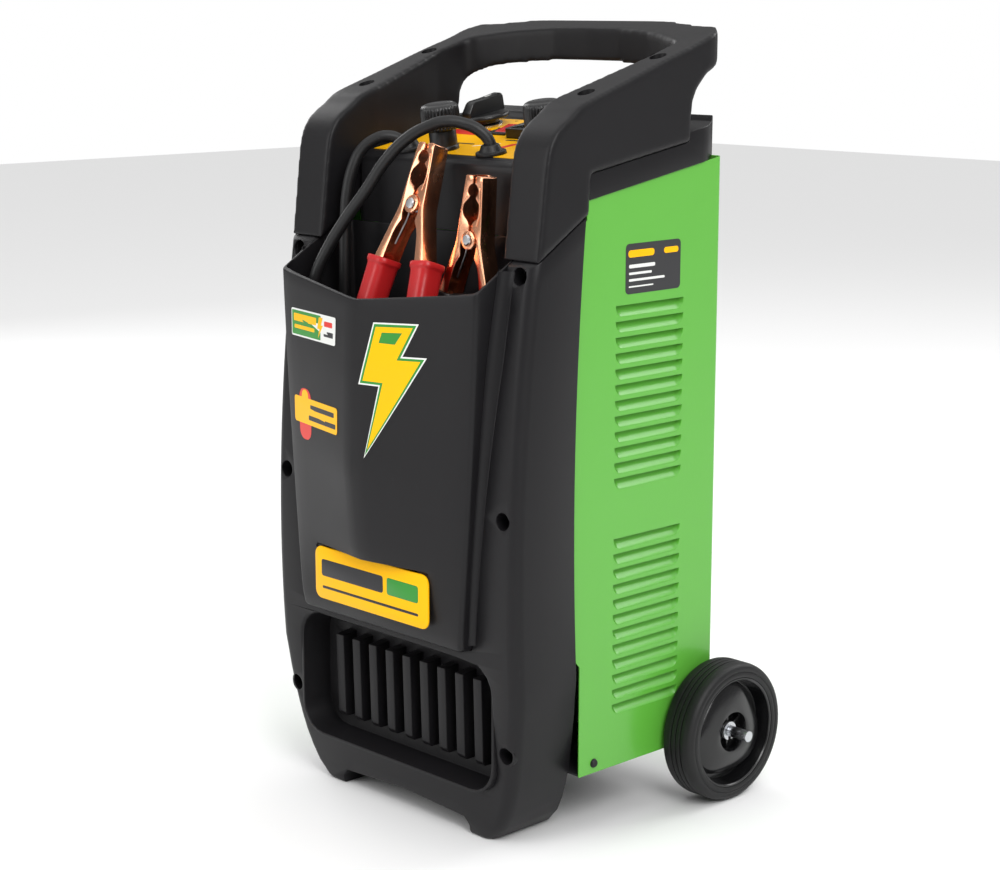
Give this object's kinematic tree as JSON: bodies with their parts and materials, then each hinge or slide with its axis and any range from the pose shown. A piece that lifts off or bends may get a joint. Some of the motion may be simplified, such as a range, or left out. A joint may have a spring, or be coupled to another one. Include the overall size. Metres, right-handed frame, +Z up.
{
  "type": "car battery charger",
  "caption": "Wheeled starter battery charger: steel case, moulded front shell with clamp bin, sloping control deck, loop handle, charging leads with spring clamps.",
  "frame": {"origin": "on the ground, under the middle of the charger's overall box without its free leads and clamps", "axes": "+Z up, -Y towards the front with the bin and grille, +X to the right as seen from the front, along the wheel axle"},
  "size_m": [0.407, 0.346, 0.683],
  "materials": {
    "shell_plastic": "satin moulded, fine spark texture",
    "liner_plastic": "satin moulded",
    "green_paint": "gloss powder coat",
    "chassis_paint": "satin powder coat",
    "badge_film": "gloss printed film",
    "zinc_steel": "zinc plated",
    "black_screw": "black oxide",
    "hub_plastic": "gloss moulded",
    "tyre_rubber": "satin rubber with fine ribs",
    "core_steel": "varnished laminations",
    "copper_wire": "enamelled wire",
    "raw_aluminium": "extruded",
    "brass": "machined",
    "fan_plastic": "moulded",
    "knob_plastic": "moulded, fluted",
    "meter_window": "clear window",
    "needle_paint": "painted",
    "rocker_red": "moulded",
    "button_white": "moulded",
    "cable_rubber": "satin rubber sheath",
    "clamp_copper": "copper plated",
    "grip_red": "dipped vinyl",
    "grip_black": "dipped vinyl",
    "spring_steel": "spring wire"
  },
  "bodies": {
    "case": {"front_shell": "shell_plastic", "storage_bin": "shell_plastic", "top_cover": "shell_plastic", "panel_overlay": "badge_film", "handle_upper": "shell_plastic", "handle_lower": "liner_plastic", "side_panel_right": "green_paint", "side_panel_left": "green_paint", "rear_panel": "green_paint", "base_plate": "chassis_paint", "badge_plate": "badge_film", "shell_screws": "zinc_steel", "handle_screws": "zinc_steel", "panel_screws": "black_screw", "axle": "zinc_steel", "axle_clips": "zinc_steel", "transformer_core": "core_steel", "primary_winding": "copper_wire", "secondary_winding": "copper_wire", "transformer_frame": "zinc_steel", "rectifier_heatsink": "raw_aluminium", "rectifier_diodes": "brass", "fan_frame": "fan_plastic", "selector_switch": "liner_plastic", "terminal_collars": "knob_plastic", "terminal_studs": "brass", "ammeter_body": "knob_plastic", "ammeter_lens": "meter_window", "rocker_frame": "knob_plastic", "reset_bezel": "zinc_steel", "cable_grommets": "cable_rubber", "lead_pos": "cable_rubber", "lead_pos_coil": "cable_rubber", "lead_neg": "cable_rubber", "lead_neg_coil": "cable_rubber", "clamp_pos_jaw_fixed": "clamp_copper", "clamp_pos_grip_fixed": "grip_red", "clamp_neg_jaw_fixed": "clamp_copper", "clamp_neg_grip_fixed": "grip_black", "clamp_rivets": "zinc_steel", "clamp_springs": "spring_steel", "mains_gland": "cable_rubber"},
    "right_wheel": {"wheel_right": "hub_plastic", "tyre_right": "tyre_rubber"},
    "left_wheel": {"wheel_left": "hub_plastic", "tyre_left": "tyre_rubber"},
    "impeller": {"fan_impeller": "fan_plastic"},
    "selector": {"selector_knob": "knob_plastic"},
    "knob_left": {"terminal_knob_left": "knob_plastic"},
    "knob_right": {"terminal_knob_right": "knob_plastic"},
    "needle": {"ammeter_needle": "needle_paint"},
    "rocker_body": {"rocker": "rocker_red"},
    "reset": {"reset_button": "button_white"},
    "clamp_pos_half": {"clamp_pos_jaw_moving": "clamp_copper", "clamp_pos_grip_moving": "grip_red"},
    "clamp_neg_half": {"clamp_neg_jaw_moving": "clamp_copper", "clamp_neg_grip_moving": "grip_black"}
  },
  "joints": [
    {"name": "right_wheel_spin", "type": "hinge", "parent": "case", "child": "right_wheel", "pos_m": [0.172, 0.1105, 0.0625], "axis": [1, 0, 0], "continuous": true},
    {"name": "left_wheel_spin", "type": "hinge", "parent": "case", "child": "left_wheel", "pos_m": [-0.172, 0.1105, 0.0625], "axis": [1, 0, 0], "continuous": true},
    {"name": "fan_spin", "type": "hinge", "parent": "case", "child": "impeller", "pos_m": [0, 0.103, 0.33], "axis": [0, 1, 0], "continuous": true},
    {"name": "selector_turn", "type": "hinge", "parent": "case", "child": "selector", "pos_m": [-0.075, 0.054, 0.58889], "axis": [0, -0.1685, 0.9857], "range_deg": [-135, 135]},
    {"name": "knob_left_turn", "type": "hinge", "parent": "case", "child": "knob_left", "pos_m": [-0.03, -0.037, 0.57333], "axis": [0, -0.1685, 0.9857], "continuous": true},
    {"name": "knob_right_turn", "type": "hinge", "parent": "case", "child": "knob_right", "pos_m": [0.068, -0.009, 0.57812], "axis": [0, -0.1685, 0.9857], "continuous": true},
    {"name": "needle_swing", "type": "hinge", "parent": "case", "child": "needle", "pos_m": [0.022, 0.02454, 0.5878], "axis": [0, -0.1685, 0.9857], "range_deg": [-90, 0], "stiffness_Nm_per_rad": 0.0002},
    {"name": "rocker_tilt", "type": "hinge", "parent": "case", "child": "rocker_body", "pos_m": [-0.027, 0.03598, 0.58591], "axis": [1, 0, 0], "range_deg": [-19, 0]},
    {"name": "reset_press", "type": "slide", "parent": "case", "child": "reset", "axis": [0, 0.1685, -0.9857], "range_m": [0, 0.0025], "stiffness_N_per_m": 300},
    {"name": "clamp_pos_open", "type": "hinge", "parent": "case", "child": "clamp_pos_half", "pos_m": [0.01, -0.102, 0.531], "axis": [0, 0.9455, -0.3256], "range_deg": [0, 20], "stiffness_Nm_per_rad": 3, "springref_deg": -34.38},
    {"name": "clamp_neg_open", "type": "hinge", "parent": "case", "child": "clamp_neg_half", "pos_m": [0.069, -0.092, 0.507], "axis": [0, 0.9986, -0.0523], "range_deg": [0, 20], "stiffness_Nm_per_rad": 3, "springref_deg": -34.38}
  ]
}
